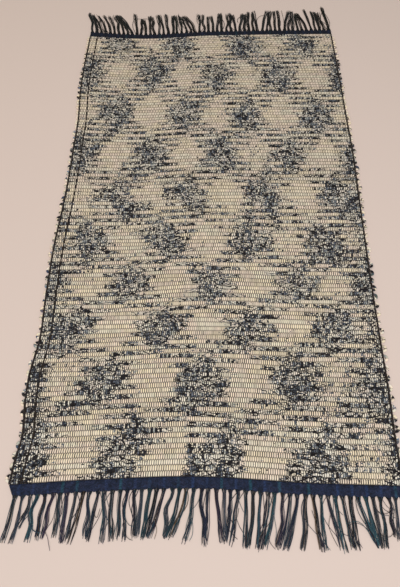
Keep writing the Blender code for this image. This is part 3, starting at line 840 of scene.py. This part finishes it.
navy_cotton = navy_heading_cotton()
for side, outwards, bunches, draw_in, seed in RUG_ENDS:
    left, right = heading_ends(side)
    plan = lock_plan(bunches, left + draw_in, right, np.random.default_rng(seed))
    points, faces, weave = heading_mesh(side, outwards, draw_in, plan[0])
    heading = make_piece(f"{side}_heading", points, faces, navy_cotton, weave)
    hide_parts(f"{side}_heading_fringe")

# The fringes: the warp ends, cut about 8 cm outside the headings and left loose in bunches
# Each lock is a dozen dyed cotton threads that spread, cross a little and fray at the tips.
LEAN_POWER = 1.5
ROOT_INSET = 1.0 * MM  # how far a thread begins inside the heading
ROOT_HEIGHT = 1.4 * MM
LAYERS = (0.5, 2.6)  # mm, the height in which a thread comes to lie
SETTLED = 0.2  # of the thread, over which it comes down to there
TIP_DROP = 0.35  # of that height, at the tip
CUTS, WILD_CUTS = (0.92, 1.03), (0.7, 1.06)  # a thread's length, for its lock's length of 1
THICKNESSES, STRAY_THICKNESS = (0.8, 1.25), 0.8
TAPER = (0, 0.9, 1.0), (1.0, 1.0, 0.7)  # places along a thread, and its thickness there
# Painted shade near a thread's root, where the threads crowd
ROOT_SHADE = (0, 0.12, 0.3), (0.6, 0.75, 1.0)  # and the light on threads that crowd there

# How threads leave their lock's middle line, in mm. Those of a lock share its sway and the hook
# at its tip, and each has its own wave and bend. The wild ones bend most
SWAY, HOOK, WAVE, BEND, WILD_BEND = 2.0, 1.6, 1.1, 0.7, 9
SWAY_TURNS, WAVE_TURNS = 6.0, 8.0  # radians along a thread
WILD_SHARE = 0.07
PARALLEL = 0.1  # of a thread, at its root, where threads lie side by side
FREE_SOONER = 1.2  # sway and bend end this much sooner than the thread
MIXING, MOST_ASIDE = 0.3, 1.3  # of the lock's half width: how threads cross, and their limit
OWN_DYE_SHARE = 0.6  # of the threads in their lock's own dye
ODD_DYE_SHARE = 0.03  # of the threads in the last, brownish dye
THREAD_SECTIONS = 10
THREAD_SIDES = 4
LOCK_SHARES = (0.0, 0.06, 0.14, 0.55, 1.0)  # along a lock, where its half widths are given
FRINGES = {
    "near": {
        "threads": (10, 14),
        "half_widths": (4.8, 2.7, 1.9, 2.5, 3.5),
        "tints": (0.7, 1.65),
        "thread_half": 0.5 * MM,
        "dyes": ("#181b22", "#1e2436", "#222931", "#223a44", "#2a4a55", "#332c3f", "#343c48", "#4a3b2b"),
        "dye_shares": (0.2, 0.19, 0.16, 0.18, 0.1, 0.08, 0.09, 0.0),
    },
    "far": {
        "threads": (11, 16),
        "half_widths": (5.4, 3.5, 2.4, 2.8, 3.7),
        "tints": (0.35, 0.9),
        "thread_half": 0.62 * MM,
        "dyes": ("#0c0e0e", "#111514", "#151b18", "#14201f", "#1d1a20", "#1f2418", "#1d2629", "#3b3222"),
        "dye_shares": (0.26, 0.2, 0.18, 0.14, 0.08, 0.07, 0.07, 0.0),
    },
}

# Strays that lie over the fringes, each by the X and Y of four points in mm from the field's
# middle
STRAY_HEIGHT, STRAY_DROP = 2.6 * MM, 0.6 * MM  # where it starts, and how far it comes down
STRAYS = {
    "near": (
        (-300, -650, -296, -668, -285, -682, -270, -687),
        (-299, -652, -293, -672, -283, -684, -268, -684),
        (-301, -655, -303, -668, -308, -676, -316, -679),
        (-266, -683, -260, -692, -257, -700, -253, -711),
        (-190, -650, -186, -660, -182, -661, -179, -648),
        (-139, -640, -135, -662, -128, -672, -119, -674),
        (-137, -668, -134, -684, -127, -692, -120, -694), (-87, -660, -84, -670, -82, -680, -85, -692),
        (-11, -622, -14, -634, -20, -643, -27, -648), (-28, -652, -23, -668, -23, -684, -28, -694),
        (50, -618, 54, -632, 58, -642, 62, -650), (54, -644, 51, -657, 46, -664, 46, -680),
        (36, -676, 42, -682, 46, -686, 51, -690), (80, -652, 76, -668, 72, -682, 70, -703),
        (101, -683, 103, -692, 107, -698, 112, -703), (113, -624, 112, -650, 115, -676, 112, -692),
        (163, -658, 170, -669, 184, -684, 201, -703), (176, -645, 181, -662, 189, -682, 198, -700),
        (207, -650, 202, -668, 207, -684, 214, -698), (213, -622, 217, -638, 222, -646, 228, -652),
        (216, -667, 222, -677, 229, -681, 236, -682), (231, -665, 243, -661, 257, -664, 276, -690),
        (233, -667, 246, -663, 259, -667, 278, -684), (240, -678, 244, -686, 249, -692, 253, -699),
        (282, -640, 290, -647, 301, -648, 313, -640), (283, -642, 292, -650, 303, -651, 316, -655),
        (289, -622, 292, -633, 299, -643, 313, -648), (295, -622, 299, -631, 306, -640, 318, -643),
        (284, -678, 291, -682, 300, -682, 307, -677), (286, -682, 290, -687, 293, -690, 297, -692),
    ),
    "far": (
        (-222, 672, -216, 674, -211, 672, -206, 668), (-206, 672, -199, 675, -192, 675, -186, 670),
        (-331, 664, -336, 676, -341, 684, -347, 694), (-292, 648, -293, 664, -296, 678, -295, 694),
        (-38, 652, -42, 668, -43, 684, -42, 704), (-42, 668, -40, 678, -36, 686, -32, 694),
        (79, 664, 80, 678, 87, 688, 99, 694), (81, 660, 79, 676, 84, 686, 97, 700),
        (136, 660, 138, 676, 146, 692, 161, 700), (217, 646, 218, 668, 217, 690, 214, 724),
        (220, 636, 224, 652, 231, 668, 240, 690), (-98, 640, -99, 660, -100, 680, -99, 702),
    ),
}


def strays(routes):
    """The middle lines of the strays: a smooth curve through each one's four points."""
    at = np.linspace(0, 3, THREAD_SECTIONS)
    tables = [[("point", "x", "y"), *zip(range(4), route[::2], route[1::2])] for route in routes]
    x, y = [np.array([smooth(table, name, at) for table in tables]) * MM for name in ("x", "y")]
    z = np.broadcast_to(STRAY_HEIGHT - STRAY_DROP * at / 3, x.shape)
    return np.stack([x - OUTLINE_MIDDLE[0], y - OUTLINE_MIDDLE[1], z], axis=-1)


def fringe_threads(side, outwards, bunches, draw_in, seed):
    """The fringe's threads: each runs from its own warp end into its lock and on to the tip.

    The sideways place is the lock's lean and its slow wave, plus the thread's own offset,
    which is wide where the lock leaves the heading, narrow a little further on and wider
    again at the tip. Heights start in the heading and settle in layers on the floor. Then
    come the strays.
    """
    look = FRINGES[side]
    left, right = heading_ends(side)
    roots, tips, lengths = lock_plan(bunches, left + draw_in, right, np.random.default_rng(seed))
    rng = np.random.default_rng(seed + 40)
    threads = rng.integers(*look["threads"], len(roots))
    lock = np.repeat(np.arange(len(roots)), threads)
    place = np.concatenate([np.linspace(-1, 1, n) for n in threads])
    count = len(lock)
    along = np.linspace(0, 1, THREAD_SECTIONS)
    free = np.sin(math.pi * np.minimum(along * FREE_SOONER, 1.0))
    spread = np.interp(along, LOCK_SHARES, look["half_widths"]) * MM
    mixed = np.clip(place + rng.normal(0, MIXING, count), -MOST_ASIDE, MOST_ASIDE)
    offset = np.where(along < PARALLEL, place[:, None], mixed[:, None]) * spread
    phases = rng.uniform(0, 6, (len(roots), 1))
    sway = rng.normal(0, SWAY, (len(roots), 1)) * np.sin(SWAY_TURNS * along + phases) * free
    hook = rng.normal(0, HOOK, (len(roots), 1)) * along**4
    wave = rng.normal(0, WAVE, (count, 1))
    wave = wave * np.sin(WAVE_TURNS * along + rng.uniform(0, 6, (count, 1)))
    wild = rng.random(count) < WILD_SHARE
    bend = np.where(wild, rng.normal(0, WILD_BEND, count), rng.normal(0, BEND, count))
    lean = (tips - roots)[lock][:, None] * along**LEAN_POWER
    x = roots[lock][:, None] + lean + offset
    x = x + (sway[lock] + hook[lock] + wave * along + bend[:, None] * free) * MM
    cut = np.where(wild, rng.uniform(*WILD_CUTS, count), rng.uniform(*CUTS, count))
    out = CLOTH_GAP + HEADING_WIDTHS[side] - ROOT_INSET + (lengths[lock] * cut)[:, None] * along
    y = heading_place(side, outwards, roots[lock][:, None] + 0 * x, out)
    layer = rng.uniform(*LAYERS, count)[:, None] * MM
    settled = np.clip(along / SETTLED, 0, 1)
    z = ROOT_HEIGHT * (1 - settled) + layer * settled * (1 - TIP_DROP * along)
    z = np.maximum(z, look["thread_half"])
    loose = strays(STRAYS[side])
    path = np.concatenate([np.stack([x, y, z], axis=-1), loose])
    thickness = np.append(rng.uniform(*THICKNESSES, count), np.full(len(loose), STRAY_THICKNESS))
    half = look["thread_half"] * thickness[:, None] * np.interp(along, *TAPER)
    points, faces = tube(path, half, half, THREAD_SIDES)
    dyes = np.array([linear(dye) for dye in look["dyes"]])
    own = rng.choice(len(dyes), len(roots), p=look["dye_shares"])[lock]
    other = rng.choice(len(dyes), count, p=look["dye_shares"])
    dye = np.where(rng.random(count) < OWN_DYE_SHARE, own, other)
    dye = np.where(rng.random(count) < ODD_DYE_SHARE, len(dyes) - 1, dye)
    dye = np.concatenate([dye, rng.choice(len(dyes), len(loose))])
    tint = dyes[dye] * rng.uniform(*look["tints"], len(dye))[:, None]
    # Painted shade on each thread near its root, where the threads crowd
    tint = tint[:, None, :] * np.interp(along, *ROOT_SHADE)[:, None]
    tint[..., 3] = 1.0
    return points, faces, np.repeat(tint.reshape(-1, 4), THREAD_SIDES, axis=0)


def dyed_cotton_yarn():
    """Dyed cotton warp yarn, cut and loose: matt, softly fuzzy, each thread its own dye, with painted
    shade near its root.
    """
    material, tree, surface = new_material("dyed_cotton_yarn")
    # The dye attribute holds each thread's dye with painted shade near its root
    dye = add(tree, "Attribute", {}, out="Color", attribute_name="dye")
    where = add(tree, "TexCoord", {}, out="Object")
    twist = add(tree, "TexNoise", {"Vector": where, "Scale": 1 / (1.4 * MM), "Detail": 2.0})
    worn = add(tree, "MapRange", [twist, 0.3, 0.7, 0.75, 1.3])
    dye = add(tree, "VectorMath", {0: dye, "Scale": worn}, operation="SCALE")
    feed(tree, surface, {"Base Color": dye, "Roughness": 0.8, "Specular IOR Level": 0.2})
    feed(tree, surface, {"Sheen Weight": 0.05})
    relief = add(tree, "Bump", {"Height": twist, "Strength": 0.4, "Distance": 0.15 * MM})
    feed(tree, surface, {"Normal": relief})
    return material


yarn = dyed_cotton_yarn()
for side, outwards, bunches, draw_in, seed in RUG_ENDS:
    points, faces, dye = fringe_threads(side, outwards, bunches, draw_in, seed)
    fringe = make_piece(f"{side}_fringe", points, faces, yarn, dye=dye)

# The floor, soft studio light and a camera standing where the rug was seen from
# They belong to the pictures alone. The light comes mostly from the near side and from the
# pale room, with a warmer lamp at the far left.
FLOOR_DROP = 0.4 * MM
FLOOR_HALF = 4.0
ROOM_STRENGTH = 0.47
CAMERA_STAND = (-0.0112, -0.650, 0.825)  # from the field's middle, in metres
CAMERA_TILT = 26.3  # degrees up from straight down
CAMERA_TURN = 0.95  # degrees to the left
CAMERA_LENS = 27.05  # mm

floor_mesh = bpy.data.meshes.new("floor")
ways = ((-1, -1), (1, -1), (1, 1), (-1, 1))
corners = [(x * FLOOR_HALF, y * FLOOR_HALF, -FLOOR_DROP) for x, y in ways]
floor_mesh.from_pydata(corners, [], [(0, 1, 2, 3)])
floor = bpy.data.objects.new("floor", floor_mesh)
bpy.context.scene.collection.objects.link(floor)
pale_floor, tree, surface = new_material("pale_floor")
feed(tree, surface, {"Base Color": linear("#dccdc6"), "Roughness": 0.9})
floor_mesh.materials.append(pale_floor)

for name, place, size, power, tint in (
    ("near_soft_light", (0.25, -1.3, 2.4), 2.2, 46, "#f7f3f2"),
    ("left_fill_light", (-1.4, 0.6, 2.4), 2.2, 10, "#ffe6c4"),
):
    lamp = bpy.data.lights.new(name, "AREA")
    lamp.shape = "DISK"
    lamp.size = size
    lamp.energy = power
    lamp.color = linear(tint)[:3]
    light = bpy.data.objects.new(name, lamp)
    light.location = place
    ahead = -np.array(place)[:2]
    tilt = math.atan2(math.hypot(*ahead), place[2])
    light.rotation_euler = (tilt, 0.0, math.atan2(ahead[1], ahead[0]) - math.pi / 2)
    bpy.context.scene.collection.objects.link(light)

world = bpy.data.worlds.new("studio")
world.use_nodes = True
room = world.node_tree.nodes["Background"]
feed(world.node_tree, room, {"Color": linear("#f5f1ea"), "Strength": ROOM_STRENGTH})
bpy.context.scene.world = world
bpy.context.scene.view_settings.view_transform = "Standard"

eye = bpy.data.cameras.new("camera")
eye.lens = CAMERA_LENS
eye.clip_start = 0.01
camera = bpy.data.objects.new("camera", eye)
camera.location = np.array(CAMERA_STAND) - (*OUTLINE_MIDDLE, 0.0)
camera.rotation_euler = (math.radians(CAMERA_TILT), 0.0, math.radians(CAMERA_TURN))
bpy.context.scene.collection.objects.link(camera)
bpy.context.scene.camera = camera
